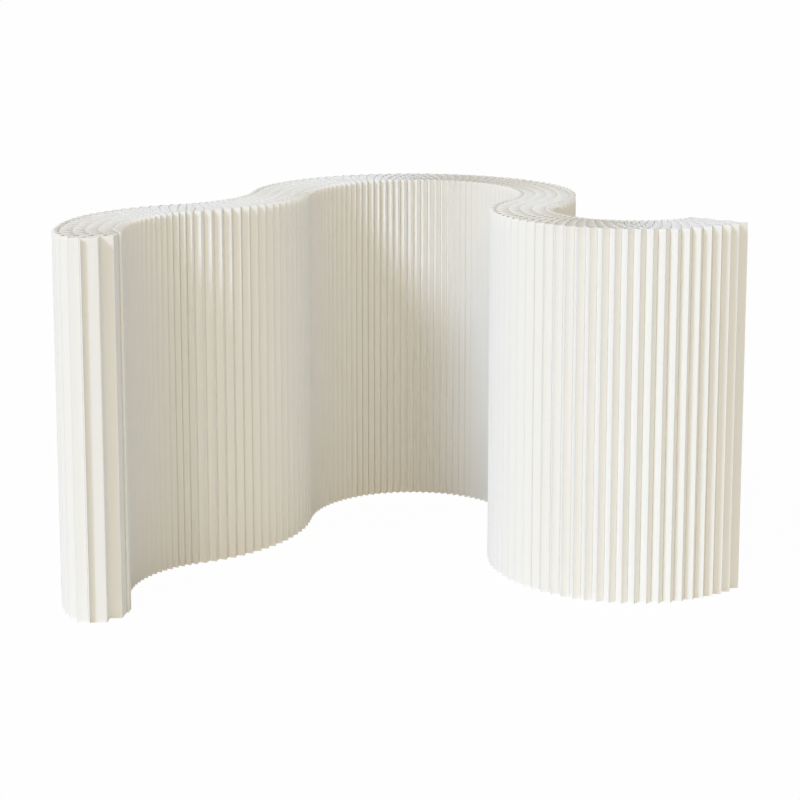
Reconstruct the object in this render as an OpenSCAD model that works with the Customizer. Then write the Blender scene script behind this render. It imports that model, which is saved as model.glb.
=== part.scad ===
// Pleated paper screen: one long honeycomb wall of folded sheets, standing in a serpentine.
// Millimetres, +Z up, the wall stands on z = 0 and its footprint is centred on x = y = 0.
// The centre line is a chain of tangent arcs; "left" bends turn anticlockwise seen from above.

/* [Wall] */
// height of every sheet
screen_h = 1800; // [900:10:2400]
// thickness of the wall, from the outer ridges of one face to those of the other
wall_t = 306; // [250:1:330]
// thickness of one sheet of paper
sheet_t = 0.3; // [0.2:0.05:0.6]
// width of the strips inside the wall along which two neighbouring sheets are glued
glue_w = 4; // [3:0.5:8]
// width of the strip along each outer ridge
ridge_w = 1.6; // [1:0.2:4]
// pleats in one section of the wall; a pleat is two sheets
pleats_per_section = 6; // [4:1:8]

/* [Fold lines] */
// place of the outermost valley as a share of the wall thickness
valley_at = 0.105; // [0.08:0.005:0.14]
// place of the inner ridge line as a share of the wall thickness
ridge_at = 0.31; // [0.27:0.01:0.36]

/* [Serpentine] */
// direction of the centre line at its left end, anticlockwise from +X
start_heading = 135.2; // [120:0.2:160]
// radius of the curl at the left end
left_curl_r = 364; // [260:5:500]
// angle of the curl at the left end
left_curl_a = 46.5; // [30:0.1:60]
// straight stretch after the left curl
left_run = 96; // [20:1:200]
// radius of the right-hand bend behind the left end
bend_one_r = 636; // [500:1:900]
// angle of that bend
bend_one_a = 65.2; // [50:0.1:75]
// radius of the left-hand bend towards the back
bend_two_r = 730; // [550:1:900]
// angle of that bend
bend_two_a = 63.1; // [50:0.1:75]
// radius of the wide bow at the back
bow_r = 705; // [600:1:850]
// angle of the wide bow
bow_a = 207.4; // [190:0.1:215]
// radius of the front bow on the right
front_r = 535; // [420:2:700]
// angle of the front bow
front_a = 162.8; // [140:0.1:175]
// radius of the curl at the right end
right_curl_r = 225; // [220:1:400]
// angle of the curl at the right end
right_curl_a = 12; // [5:0.1:40]
// number of sheets next to the left-hand free end whose pleats open wide
end_sheets = 4; // [2:1:10]
// how far the end sheet bulges outwards at mid-thickness
end_bow = 44; // [0:1:50]
// share of its thickness that the wall loses at that end
end_narrowing = 0.25; // [0:0.01:0.3]

/* [Folding] */
// how far each fold line that works as a hinge turns to either side, in degrees
fold_range = 6; // [2:0.5:6.5]
// clear gap between the two sheets that meet on such a fold line
hinge_gap = 0.3; // [0.3:0.05:1]

/* [Hidden] */
sections = 22;
flanks = ["left_flanks_", "right_flanks_"];
paper_colour = [0.93, 0.92, 0.89];

sheets_per_section = 2 * pleats_per_section;
sheets = sections * sheets_per_section;

// chain of stretches: [radius (0 = straight), turn (positive = left), straight length]
chain = [
    [left_curl_r, -left_curl_a, 0],
    [0, 0, left_run],
    [bend_one_r, -bend_one_a, 0],
    [bend_two_r, bend_two_a, 0],
    [bow_r, -bow_a, 0],
    [front_r, front_a, 0],
    [right_curl_r, right_curl_a, 0]
];
function stretch_len(c) = c[0] == 0 ? c[2] : c[0] * abs(c[1]) * PI / 180;

// pose after the distance d from the pose p = [x, y, heading] along the stretch c
function along(p, c, d) =
    c[0] == 0
    ? [p[0] + d * cos(p[2]), p[1] + d * sin(p[2]), p[2]]
    : let (side = sign(c[1]), h = p[2] + side * d / c[0] * 180 / PI)
      [p[0] + side * c[0] * (sin(h) - sin(p[2])), p[1] - side * c[0] * (cos(h) - cos(p[2])), h];

// pose at the beginning of stretch i, and the distance run up to there
function start_pose(i) =
    i == 0 ? [0, 0, start_heading] : along(start_pose(i - 1), chain[i - 1], stretch_len(chain[i - 1]));
function run_before(i) = i == 0 ? 0 : run_before(i - 1) + stretch_len(chain[i - 1]);
stretch_pose = [for (i = [0 : len(chain) - 1]) start_pose(i)];
stretch_run = [for (i = [0 : len(chain)]) run_before(i)];
total_run = stretch_run[len(chain)];

function stretch_of(d, i = 0) =
    i == len(chain) - 1 || d < stretch_run[i + 1] ? i : stretch_of(d, i + 1);
function pose_at(d) =
    let (i = stretch_of(d)) along(stretch_pose[i], chain[i], d - stretch_run[i]);

// fold stations, evenly spaced: sheet j lies between station j and station j + 1
station = [for (k = [0 : sheets]) pose_at(total_run * k / sheets)];

// how wide the pleats open at station k: 1 at the free end itself, 0 from end_sheets on
function end_share(k) = pow(max(0, 1 - k / end_sheets), 2);

// a point of the plan: station k, u across the wall from its right-hand face, f forward of the station
function at(k, u, f) =
    let (p = station[k], e = end_share(k), v = (u - wall_t / 2) * (1 - end_narrowing * e))
    let (g = f - end_bow * e * (1 - pow(2 * u / wall_t - 1, 2)))
    [p[0] - v * sin(p[2]) + g * cos(p[2]), p[1] + v * cos(p[2]) + g * sin(p[2])];

// glue strips across the wall: [middle, half width]; even ones lie on even stations, odd ones on odd
strip = [
    [ridge_w / 2, ridge_w / 2],
    [valley_at * wall_t, glue_w / 2],
    [ridge_at * wall_t, glue_w / 2],
    [wall_t / 2, glue_w / 2],
    [(1 - ridge_at) * wall_t, glue_w / 2],
    [(1 - valley_at) * wall_t, glue_w / 2],
    [wall_t - ridge_w / 2, ridge_w / 2]
];
strips = len(strip);

// the outermost corners are those of the ridges, which lie on the even stations
corners = [
    for (k = [0 : 2 : sheets], i = [0 : 2 : strips - 1], e = [-1, 1])
    for (f = [k == 0 ? 0 : -sheet_t, k == sheets ? 0 : sheet_t])
    at(k, strip[i][0] + e * strip[i][1], f)
];
xs = [for (c = corners) c[0]];
ys = [for (c = corners) c[1]];
centre = [(min(xs) + max(xs)) / 2, (min(ys) + max(ys)) / 2];

// first sheet of section i, and one past the last sheet of the last section
function first_sheet(i) = i == 0 ? 0 : i == sections ? sheets : i * sheets_per_section - 1;

// working fold lines: the valley lines between two sections
function is_hinge(k) = k > 0 && k < sheets - 1 && (k + 1) % sheets_per_section == 0;

// how far glue strip i stands back from a working fold line, so that the wall can turn there
function set_back(k, i) =
    is_hinge(k) ? hinge_gap / 2 + (abs(strip[i][0] - wall_t / 2) + strip[i][1]) * tan(fold_range / 2) : 0;

// the two plan points of strip i on sheet j; face 0 is the sheet's back, face 1 its front
function strip_points(j, i, face) =
    let (on_start = (i % 2) == (j % 2), k = on_start ? j : j + 1)
    let (back = on_start ? set_back(k, i) : -sheet_t - set_back(k, i))
    [for (e = [-1, 1]) at(k, strip[i][0] + e * strip[i][1], back + face * sheet_t)];

function sheet_outline(j) = concat(
    [for (i = [0 : strips - 1]) each strip_points(j, i, 0)],
    [for (i = [strips - 1 : -1 : 0]) let (s = strip_points(j, i, 1)) each [s[1], s[0]]]
);

// one folded sheet of paper
module folded_sheet(j) {
    translate([-centre[0], -centre[1], 0])
        linear_extrude(height = screen_h)
            polygon(sheet_outline(j));
}

// the sheets of section i on one side of its ridges: side 0 left of them (odd sheets), side 1 right.
// Each is glued to the sheets of the other side on the stations before and after it.
module pleat_flanks(i, side) {
    color(paper_colour)
        for (j = [first_sheet(i) : first_sheet(i + 1) - 1])
            if (j % 2 != side) folded_sheet(j);
}

for (i = [0 : sections - 1], side = [0, 1])
    pleat_flanks(i, side);
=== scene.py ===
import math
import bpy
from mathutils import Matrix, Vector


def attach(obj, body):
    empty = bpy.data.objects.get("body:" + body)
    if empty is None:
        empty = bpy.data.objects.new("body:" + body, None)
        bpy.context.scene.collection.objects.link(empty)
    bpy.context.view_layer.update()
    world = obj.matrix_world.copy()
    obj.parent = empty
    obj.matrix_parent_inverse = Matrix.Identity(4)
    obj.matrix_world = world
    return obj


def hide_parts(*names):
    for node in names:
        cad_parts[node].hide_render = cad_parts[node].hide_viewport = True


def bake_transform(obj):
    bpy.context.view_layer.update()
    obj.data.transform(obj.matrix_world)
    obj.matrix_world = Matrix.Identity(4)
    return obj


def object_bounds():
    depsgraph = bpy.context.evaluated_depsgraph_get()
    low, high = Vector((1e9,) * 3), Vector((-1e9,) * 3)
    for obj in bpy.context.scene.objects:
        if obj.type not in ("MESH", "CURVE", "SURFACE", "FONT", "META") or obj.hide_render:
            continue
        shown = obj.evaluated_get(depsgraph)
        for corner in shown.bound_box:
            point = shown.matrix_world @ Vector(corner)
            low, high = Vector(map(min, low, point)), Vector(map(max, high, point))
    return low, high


bl_info = {
    "name": "Pleated paper screen",
    "version": (1, 0, 0),
    "blender": (4, 5, 0),
    "location": "3D View > Sidebar > Paper screen",
    "description": "Dresses the packed frame of a pleated paper screen: folded sheets, paper, studio",
    "category": "Object",
}

import bpy
import numpy as np
from mathutils import Matrix, Vector

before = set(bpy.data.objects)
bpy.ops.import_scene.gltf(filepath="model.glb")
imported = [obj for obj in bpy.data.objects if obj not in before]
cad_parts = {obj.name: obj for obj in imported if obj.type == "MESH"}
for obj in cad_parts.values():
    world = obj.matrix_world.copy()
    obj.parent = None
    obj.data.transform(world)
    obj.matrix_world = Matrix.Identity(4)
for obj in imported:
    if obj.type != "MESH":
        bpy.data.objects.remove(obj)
CAD_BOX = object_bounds()

SECTIONS = 22
PLEATS_PER_SECTION = 6
SHEETS_PER_SECTION = 2 * PLEATS_PER_SECTION
SHEETS = SECTIONS * SHEETS_PER_SECTION
WALL_T = 0.306
SHEET_T = 0.0003
WALL_H = CAD_BOX[1].z - CAD_BOX[0].z
PAPER = "Uncoated paper"

# the serpentine: (radius, turn in degrees, straight length), the same chain as the frame's
START_HEADING = math.radians(135.2)
CHAIN = (
    (0.364, -46.5, 0.0),
    (0.0, 0.0, 0.096),
    (0.636, -65.2, 0.0),
    (0.730, 63.1, 0.0),
    (0.705, -207.4, 0.0),
    (0.535, 162.8, 0.0),
    (0.225, 12.0, 0.0),
)
# the last sheets at the left-hand free end open wide: they bulge and the wall grows thinner
END_SHEETS = 4
END_BOW = 0.044
END_NARROWING = 0.25


# ---------------------------------------------------------------- plan of the wall


def stretch_length(stretch):
    radius, turn, straight = stretch
    return radius * math.radians(abs(turn)) if radius else straight


def pose_along(pose, stretch, distance):
    """Pose (x, y, heading) after a distance along one stretch of the chain."""
    x, y, heading = pose
    radius, turn, _ = stretch
    if not radius:
        return (x + distance * math.cos(heading), y + distance * math.sin(heading), heading)
    side = math.copysign(1.0, turn)
    turned = heading + side * distance / radius
    return (
        x + side * radius * (math.sin(turned) - math.sin(heading)),
        y - side * radius * (math.cos(turned) - math.cos(heading)),
        turned,
    )


def plan_stations():
    """Poses of the fold stations, evenly spaced along the centre line and centred as the frame is."""
    starts, runs = [(0.0, 0.0, START_HEADING)], [0.0]
    for stretch in CHAIN:
        starts.append(pose_along(starts[-1], stretch, stretch_length(stretch)))
        runs.append(runs[-1] + stretch_length(stretch))
    poses = []
    for k in range(SHEETS + 1):
        distance = runs[-1] * k / SHEETS
        i = max(n for n in range(len(CHAIN)) if distance >= runs[n])
        poses.append(pose_along(starts[i], CHAIN[i], distance - runs[i]))
    ridges = np.array(
        [plan_point(poses, k, u, 0.0) for k in range(0, SHEETS + 1, 2) for u in (0.0, WALL_T)]
    )
    middle = (ridges.min(0) + ridges.max(0)) / 2
    return [(x - middle[0], y - middle[1], h) for x, y, h in poses]


def plan_point(poses, k, across, forward):
    """Point near station k, measured across the wall from its right-hand face and forward along it."""
    x, y, heading = poses[k]
    opened = max(0.0, 1 - k / END_SHEETS) ** 2
    v = (across - WALL_T / 2) * (1 - END_NARROWING * opened)
    forward -= END_BOW * opened * (1 - (2 * across / WALL_T - 1) ** 2)
    return (
        x - v * math.sin(heading) + forward * math.cos(heading),
        y + v * math.cos(heading) + forward * math.sin(heading),
    )


STATIONS = plan_stations()


def first_sheet(section):
    """First sheet of a section counted from 0, and one past the last sheet for the last section."""
    if section == 0:
        return 0
    return SHEETS if section == SECTIONS else section * SHEETS_PER_SECTION - 1


# ---------------------------------------------------------------- shader maths


class Sock:
    """A node socket with Python arithmetic; each operation adds a Math node."""

    def __init__(self, tree, socket):
        self.tree, self.socket = tree, socket

    def _math(self, operation, *values):
        return add_node(self.tree, "ShaderNodeMath", {"operation": operation}, values)

    def __add__(self, other):
        return self._math("ADD", self, other)

    __radd__ = __add__

    def __sub__(self, other):
        return self._math("SUBTRACT", self, other)

    def __rsub__(self, other):
        return self._math("SUBTRACT", other, self)

    def __mul__(self, other):
        return self._math("MULTIPLY", self, other)

    __rmul__ = __mul__


def add_node(tree, kind, settings=None, values=(), output=0):
    """Adds a node: its settings first, then the values or links of its sockets."""
    node = tree.nodes.new(kind)
    for name, value in (settings or {}).items():
        setattr(node, name, value)
    pairs = values.items() if isinstance(values, dict) else enumerate(values)
    for key, value in pairs:
        target = node.inputs[key]
        if isinstance(value, Sock):
            tree.links.new(value.socket, target)
        else:
            target.default_value = value
    return Sock(tree, node.outputs[output]) if node.outputs else None


# textures in the paper: noise scale, and how strongly each one shades the paper
CLOUD_SCALE, CLOUD_SHADE = 3.0, 0.4
MOTTLE_SCALE, MOTTLE_SHADE = 90.0, 0.2
FIBRE_SCALE, FIBRE_SHADE = 900.0, 0.15
# fibres run upwards: they are this much coarser along the height than across
FIBRE_RUN = (1.0, 1.0, 0.25)
# painted shade and wear along a crease come and go: their noise scale, and the share that is there
# everywhere
CREASE_PATCH_SCALE, CREASE_PATCH_EVEN = 25.0, 0.35
# share of the painted crease shade and wear that is missing next to the cut edges, which lightens the
# lines along the top
CUT_SPARED = 0.3
# the tooth of the paper stands this high, in metres
TOOTH = 0.0004


def paper_material():
    """Matt white paper: fibre clouds, fine tooth, creases softened, darkened by painted shade and a
    little soiled by folding; painted light whitens the cut edges.
    """
    finish = bpy.context.scene.paper_finish
    material = bpy.data.materials.new(PAPER)
    material.use_nodes = True
    tree = material.node_tree
    tree.nodes.clear()
    place = add_node(tree, "ShaderNodeTexCoord", output="Object")
    crease = add_node(tree, "ShaderNodeAttribute", {"attribute_name": "crease"}, output="Fac")
    edge = add_node(tree, "ShaderNodeAttribute", {"attribute_name": "edge"}, output="Fac")

    def noise(scale, detail):
        return add_node(
            tree,
            "ShaderNodeTexNoise",
            values={"Vector": place, "Scale": scale, "Detail": detail, "Roughness": 0.6},
            output="Fac",
        )

    clouds = noise(CLOUD_SCALE, 3.0)
    mottle = noise(MOTTLE_SCALE, 4.0)
    fibre_place = add_node(tree, "ShaderNodeMapping", values={"Vector": place, "Scale": FIBRE_RUN})
    fibres = add_node(
        tree,
        "ShaderNodeTexNoise",
        values={"Vector": fibre_place, "Scale": FIBRE_SCALE, "Detail": 3.0, "Distortion": 0.6},
        output="Fac",
    )
    shade = (
        (clouds - 0.5) * CLOUD_SHADE + (mottle - 0.5) * MOTTLE_SHADE + (fibres - 0.5) * FIBRE_SHADE
    )
    # painted shade in the creases, strongest in the deep valleys, with some wear; patchy along them
    patchy = CREASE_PATCH_EVEN + (1 - CREASE_PATCH_EVEN) * noise(CREASE_PATCH_SCALE, 2.0)
    shading_and_wear = crease * (1 - CUT_SPARED * edge) * patchy

    def mix(factor, first, second):
        return add_node(
            tree,
            "ShaderNodeMix",
            {"data_type": "RGBA"},
            {"Factor": factor, "A": first, "B": second},
            output="Result",
        )

    def colour(name):
        return (*getattr(finish, name), 1.0)

    mottled = mix(0.5 + shade, colour("paper_dark"), colour("paper_light"))
    # painted light: the paper whiter towards the top and bottom cut edges, so the open top of the wall
    # looks lit
    edge_lit = mix(edge, mottled, colour("edge_light_colour"))
    # painted shade: the creases and valley lines darkened towards a warm grey, with a little wear
    crease_shaded = mix(shading_and_wear * finish.crease_shade_and_soil, edge_lit, colour("crease_shade_colour"))
    tooth = add_node(
        tree,
        "ShaderNodeBump",
        values={"Strength": 0.2, "Distance": TOOTH, "Height": fibres * 0.6 + mottle * 0.4},
    )
    paper = add_node(
        tree,
        "ShaderNodeBsdfPrincipled",
        values={
            "Base Color": crease_shaded,
            "Roughness": finish.roughness + (mottle - 0.5) * 0.12 - shading_and_wear * 0.08,
            "Specular IOR Level": 0.25,
            "Sheen Weight": 0.05,
            "Normal": tooth,
        },
    )
    add_node(tree, "ShaderNodeOutputMaterial", values={"Surface": paper})
    return material


# ---------------------------------------------------------------- folded sheets

GLUE_W = 0.004
RIDGE_W = 0.0016
VALLEY_AT = 0.105
RIDGE_AT = 0.31
# how far a crease's painted shade and wear reach onto the flanks, and how strongly the gentler creases
# are shaded and worn
CREASE_W = 0.005
RIDGE_SHADE_AND_WEAR = 0.08
INNER_SHADE_AND_WEAR = 0.15
# glue strips across the wall: (middle, half width, painted crease shade and wear); even ones lie on
# even stations
STRIPS = (
    (RIDGE_W / 2, RIDGE_W / 2, RIDGE_SHADE_AND_WEAR),
    (VALLEY_AT * WALL_T, GLUE_W / 2, 1.0),
    (RIDGE_AT * WALL_T, GLUE_W / 2, INNER_SHADE_AND_WEAR),
    (0.5 * WALL_T, GLUE_W / 2, 0.0),
    ((1 - RIDGE_AT) * WALL_T, GLUE_W / 2, INNER_SHADE_AND_WEAR),
    ((1 - VALLEY_AT) * WALL_T, GLUE_W / 2, 1.0),
    (WALL_T - RIDGE_W / 2, RIDGE_W / 2, RIDGE_SHADE_AND_WEAR),
)
# heights of the rows of points up a sheet, as shares of its height; the end bands carry painted light,
# whiter paper along the top and bottom edges
ROWS = (0.0, 0.01, 0.25, 0.5, 0.75, 0.99, 1.0)


def sheet_profile(j):
    """Middle line of sheet j in plan: list of (point, painted crease shade and wear)."""
    corners = []
    for i, (middle, half, shading_and_wear) in enumerate(STRIPS):
        on_start = i % 2 == j % 2
        station = j if on_start else j + 1
        forward = SHEET_T / 2 if on_start else -SHEET_T / 2
        for end in (-1, 1):
            corner = np.array(plan_point(STATIONS, station, middle + end * half, forward))
            corners.append((corner, shading_and_wear))
    profile = []
    for n, (corner, shading_and_wear) in enumerate(corners):
        if n % 2 == 0 and n:
            profile.append((step_towards(corner, corners[n - 1][0]), 0.0))
        profile.append((corner, shading_and_wear))
        if n % 2 == 1 and n < len(corners) - 1:
            profile.append((step_towards(corner, corners[n + 1][0]), 0.0))
    return profile


def step_towards(corner, other):
    """The point on a flank, from one corner towards the other, where the crease's painted shade and
    wear end.
    """
    way = other - corner
    return corner + way * CREASE_W / np.linalg.norm(way)


def clear_selection():
    if bpy.context.mode != "OBJECT":
        bpy.ops.object.mode_set(mode="OBJECT")
    bpy.ops.object.select_all(action="DESELECT")


def folded_sheet(j):
    """One sheet of paper: a flat grid folded along its crease lines."""
    profile = sheet_profile(j)
    across, up = len(profile), len(ROWS)
    clear_selection()
    bpy.ops.mesh.primitive_grid_add(x_subdivisions=across - 1, y_subdivisions=up - 1, size=1)
    sheet = bpy.context.active_object
    mesh = sheet.data
    flat = np.zeros(len(mesh.vertices) * 3)
    mesh.vertices.foreach_get("co", flat)
    flat = flat.reshape(-1, 3)
    column = np.rint((flat[:, 0] + 0.5) * (across - 1)).astype(int)
    row = np.rint((flat[:, 1] + 0.5) * (up - 1)).astype(int)
    points = np.array([p for p, _ in profile])
    creases = np.array([c for _, c in profile])
    heights = np.array(ROWS) * WALL_H
    folded = np.column_stack([points[column], heights[row]])
    mesh.vertices.foreach_set("co", folded.ravel())
    crease = mesh.attributes.new("crease", "FLOAT", "POINT")
    crease.data.foreach_set("value", creases[column].astype(np.float32))
    # edge marks the top and bottom rows, where painted light whitens the paper
    edge = mesh.attributes.new("edge", "FLOAT", "POINT")
    on_edge = ((row == 0) | (row == up - 1)).astype(np.float32)
    edge.data.foreach_set("value", on_edge)
    mesh.update()
    return sheet


def pleat_piece(name, sheets, material):
    """Joins neighbouring sheets into one piece and gives the paper its thickness."""
    parts = [folded_sheet(j) for j in sheets]
    clear_selection()
    for part in parts:
        part.select_set(True)
    piece = parts[0]
    bpy.context.view_layer.objects.active = piece
    bpy.ops.object.join()
    piece.name = piece.data.name = name
    bpy.ops.object.modifier_add(type="SOLIDIFY")
    thickness = piece.modifiers[-1]
    thickness.thickness = SHEET_T
    thickness.offset = 0.0
    bpy.ops.object.modifier_apply(modifier=thickness.name)
    piece.data.materials.clear()
    piece.data.materials.append(material)
    return piece


def middle_sheet(section):
    """The ridge station in the middle of a section, where its two halves meet."""
    half = (first_sheet(section) + first_sheet(section + 1)) // 2
    return half - half % 2


# ---------------------------------------------------------------- settings


class PaperFinish(bpy.types.PropertyGroup):
    paper_light: bpy.props.FloatVectorProperty(
        name="Paper, light", description="Lighter tone of the paper", subtype="COLOR",
        size=3, min=0, max=1, default=(0.975, 0.97, 0.95),
    )
    paper_dark: bpy.props.FloatVectorProperty(
        name="Paper, dark", description="Darker tone of the paper's fibre clouds", subtype="COLOR",
        size=3, min=0, max=1, default=(0.955, 0.949, 0.925),
    )
    # the cut-edge tone is painted light that brightens the top of the wall
    edge_light_colour: bpy.props.FloatVectorProperty(
        name="Cut edge", description="Tone of the fresh paper next to the cut edges", subtype="COLOR",
        size=3, min=0, max=1, default=(0.995, 0.995, 0.99),
    )
    # the crease tint is painted shade in the folds, with a little wear
    crease_shade_colour: bpy.props.FloatVectorProperty(
        name="Crease tint", description="Tone of worn creases", subtype="COLOR",
        size=3, min=0, max=1, default=(0.66, 0.62, 0.52),
    )
    # this sets how strong the painted crease shade and wear are
    crease_shade_and_soil: bpy.props.FloatProperty(
        name="Crease wear", description="How strongly creases are tinted", subtype="FACTOR",
        min=0, max=1, default=0.9,
    )
    roughness: bpy.props.FloatProperty(
        name="Roughness", description="Roughness of the paper's face", subtype="FACTOR",
        min=0.3, max=1, default=0.82,
    )


class BendSettings(bpy.types.PropertyGroup):
    reach: bpy.props.FloatProperty(
        name="Bend reach", description="Length of wall that bends on each side of a fold line",
        unit="LENGTH", min=0.02, max=0.12, default=0.065,
    )


class StudioSettings(bpy.types.PropertyGroup):
    floor_colour: bpy.props.FloatVectorProperty(
        name="Floor", description="Colour of the floor", subtype="COLOR",
        size=3, min=0, max=1, default=(0.65, 0.65, 0.65),
    )
    key_strength: bpy.props.FloatProperty(
        name="Key light", description="Strength of the key light", min=0, max=10, default=1.45,
    )
    key_colour: bpy.props.FloatVectorProperty(
        name="Key colour", description="Colour of the key light", subtype="COLOR",
        size=3, min=0, max=1, default=(0.665, 0.785, 1.0),
    )
    front_strength: bpy.props.FloatProperty(
        name="Front light", description="Strength of the warm light from the front and above",
        min=0, max=10, default=0.93,
    )
    front_colour: bpy.props.FloatVectorProperty(
        name="Front colour", description="Colour of the light from the front", subtype="COLOR",
        size=3, min=0, max=1, default=(1.0, 0.82, 0.49),
    )
    fill_strength: bpy.props.FloatProperty(
        name="Fill light", description="Strength of the even light all round", min=0, max=3,
        default=0.43,
    )
    fill_colour: bpy.props.FloatVectorProperty(
        name="Fill colour", description="Colour of the even light", subtype="COLOR",
        size=3, min=0, max=1, default=(1.0, 0.995, 0.95),
    )


# ---------------------------------------------------------------- operators


class SCREEN_OT_pleats(bpy.types.Operator):
    """Folds the sheets and glues them into half sections; the halves at the two free ends are attached
    to their sections
    """

    bl_idname = "paper_screen.pleats"
    bl_label = "Fold the pleated wall"

    def execute(self, context):
        material = bpy.data.materials.get(PAPER) or paper_material()
        for section in range(SECTIONS):
            number = section + 1
            first, middle, last = first_sheet(section), middle_sheet(section), first_sheet(number)
            halves = (
                ("left", range(first, middle), section - 1, first, f"left_flanks_{number:02d}"),
                ("right", range(middle, last), section + 1, last, f"right_flanks_{number:02d}"),
            )
            for side, sheets, neighbour, station, node in halves:
                piece = pleat_piece(f"pleats_{number:02d}_{side}", sheets, material)
                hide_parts(node)
                if 0 <= neighbour < SECTIONS:
                    low, high = sorted((section, neighbour))
                    f"section_{low + 1:02d}"
                    f"section_{high + 1:02d}"
                    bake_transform(piece)
                else:
                    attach(piece, f"section_{number:02d}")
        return {"FINISHED"}


class SCREEN_OT_frame_paper(bpy.types.Operator):
    """Gives the frame's own solids the paper as well, for when they are shown"""

    bl_idname = "paper_screen.frame_paper"
    bl_label = "Paper on the frame's solids"

    def execute(self, context):
        material = bpy.data.materials.get(PAPER) or paper_material()
        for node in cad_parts.values():
            for place in node.material_slots:
                place.material = material
        return {"FINISHED"}


# the two lights: apparent size in degrees, and the direction that each one comes from
KEY_SPREAD = 16
KEY_TOWARDS = (-0.592, -0.552, 0.588)
FRONT_SPREAD = 50
FRONT_TOWARDS = (0.0, -0.707, 0.707)
FLOOR_SIZE = 400
# how white the camera sees the floor; the rest of it is lit and keeps the shadow
FLOOR_WHITE = 0.98
# the camera that took the photograph, with part of its shift made up by a tilt
SENSOR_W = 36.0
LENS = 86.87
SHIFT = -0.2
CAMERA_AT = (-0.0184, -9.7532, 3.1150)
CAMERA_TILT = 8.81
CLIP_END = 400.0


class SCREEN_OT_stage(bpy.types.Operator):
    """Sets up the pale floor, the soft studio light and the camera"""

    bl_idname = "paper_screen.stage"
    bl_label = "Floor, light and camera"

    def execute(self, context):
        studio = context.scene.screen_studio
        self.floor(studio)
        self.world(studio)
        self.sun("key", studio.key_strength, studio.key_colour, KEY_SPREAD, KEY_TOWARDS)
        self.sun("front", studio.front_strength, studio.front_colour, FRONT_SPREAD, FRONT_TOWARDS)
        self.camera(context)
        context.scene.view_settings.view_transform = "Standard"
        return {"FINISHED"}

    def floor(self, studio):
        clear_selection()
        bpy.ops.mesh.primitive_plane_add(size=FLOOR_SIZE, location=(0, 0, CAD_BOX[0].z))
        floor = bpy.context.active_object
        floor.name = "studio_floor"
        material = bpy.data.materials.new("Studio floor")
        material.use_nodes = True
        tree = material.node_tree
        tree.nodes.clear()
        lit = add_node(
            tree, "ShaderNodeBsdfDiffuse", values={"Color": (*studio.floor_colour, 1.0)}
        )
        white = add_node(tree, "ShaderNodeEmission", values={"Color": (1, 1, 1, 1), "Strength": 1.0})
        camera_ray = add_node(tree, "ShaderNodeLightPath", output="Is Camera Ray")
        surface = add_node(
            tree, "ShaderNodeMixShader", values={0: camera_ray * FLOOR_WHITE, 1: lit, 2: white}
        )
        add_node(tree, "ShaderNodeOutputMaterial", values={"Surface": surface})
        floor.data.materials.append(material)

    def world(self, studio):
        world = bpy.data.worlds.new("Studio surround")
        bpy.context.scene.world = world
        world.use_nodes = True
        tree = world.node_tree
        tree.nodes.clear()
        seen = add_node(tree, "ShaderNodeLightPath", output="Is Camera Ray")
        glossy = add_node(tree, "ShaderNodeLightPath", output="Is Glossy Ray")
        through = add_node(tree, "ShaderNodeLightPath", output="Is Transmission Ray")
        shown = add_node(tree, "ShaderNodeMath", {"operation": "MAXIMUM"}, (seen, glossy + through))
        fill = add_node(
            tree,
            "ShaderNodeBackground",
            values={"Color": (*studio.fill_colour, 1.0), "Strength": studio.fill_strength},
        )
        white = add_node(tree, "ShaderNodeBackground", values={"Color": (1, 1, 1, 1), "Strength": 1.0})
        surface = add_node(tree, "ShaderNodeMixShader", values={0: shown, 1: fill, 2: white})
        add_node(tree, "ShaderNodeOutputWorld", values={"Surface": surface})

    def sun(self, name, strength, colour, spread, towards):
        """Soft light from one direction; spread is its apparent size in degrees."""
        towards = Vector(towards).normalized()
        lamp = bpy.data.lights.new(name, "SUN")
        lamp.energy = strength
        lamp.angle = math.radians(spread)
        lamp.color = colour
        light = bpy.data.objects.new(f"{name}_light", lamp)
        bpy.context.collection.objects.link(light)
        light.matrix_world = (
            Matrix.Translation(towards * 8)
            @ towards.to_track_quat("Z", "Y").to_matrix().to_4x4()
        )

    def camera(self, context):
        data = bpy.data.cameras.new("photo_view")
        data.sensor_width = SENSOR_W
        data.lens = LENS
        data.shift_y = SHIFT
        data.clip_end = CLIP_END
        camera = bpy.data.objects.new("photo_camera", data)
        bpy.context.collection.objects.link(camera)
        camera.location = CAMERA_AT
        camera.rotation_euler = (math.radians(90 - CAMERA_TILT), 0.0, 0.0)
        context.scene.camera = camera


class SCREEN_PT_panel(bpy.types.Panel):
    """Sidebar panel of the paper screen"""

    bl_idname = "SCREEN_PT_panel"
    bl_label = "Pleated paper screen"
    bl_space_type = "VIEW_3D"
    bl_region_type = "UI"
    bl_category = "Paper screen"

    def draw(self, context):
        for group in (
            context.scene.paper_finish,
            context.scene.screen_bend,
            context.scene.screen_studio,
        ):
            box = self.layout.box()
            for name in group.__annotations__:
                box.prop(group, name)
        for operator in OPERATORS:
            self.layout.operator(operator.bl_idname)


OPERATORS = (SCREEN_OT_frame_paper, SCREEN_OT_pleats, SCREEN_OT_stage)
GROUPS = (
    ("paper_finish", PaperFinish),
    ("screen_bend", BendSettings),
    ("screen_studio", StudioSettings),
)


def register():
    for name, group in GROUPS:
        bpy.utils.register_class(group)
        setattr(bpy.types.Scene, name, bpy.props.PointerProperty(type=group))
    for operator in OPERATORS:
        bpy.utils.register_class(operator)
    bpy.utils.register_class(SCREEN_PT_panel)


def unregister():
    bpy.utils.unregister_class(SCREEN_PT_panel)
    for operator in reversed(OPERATORS):
        bpy.utils.unregister_class(operator)
    for name, group in reversed(GROUPS):
        delattr(bpy.types.Scene, name)
        bpy.utils.unregister_class(group)


def main():
    register()
    bpy.ops.paper_screen.frame_paper()
    bpy.ops.paper_screen.pleats()
    bpy.ops.paper_screen.stage()


if __name__ == "__main__":
    main()
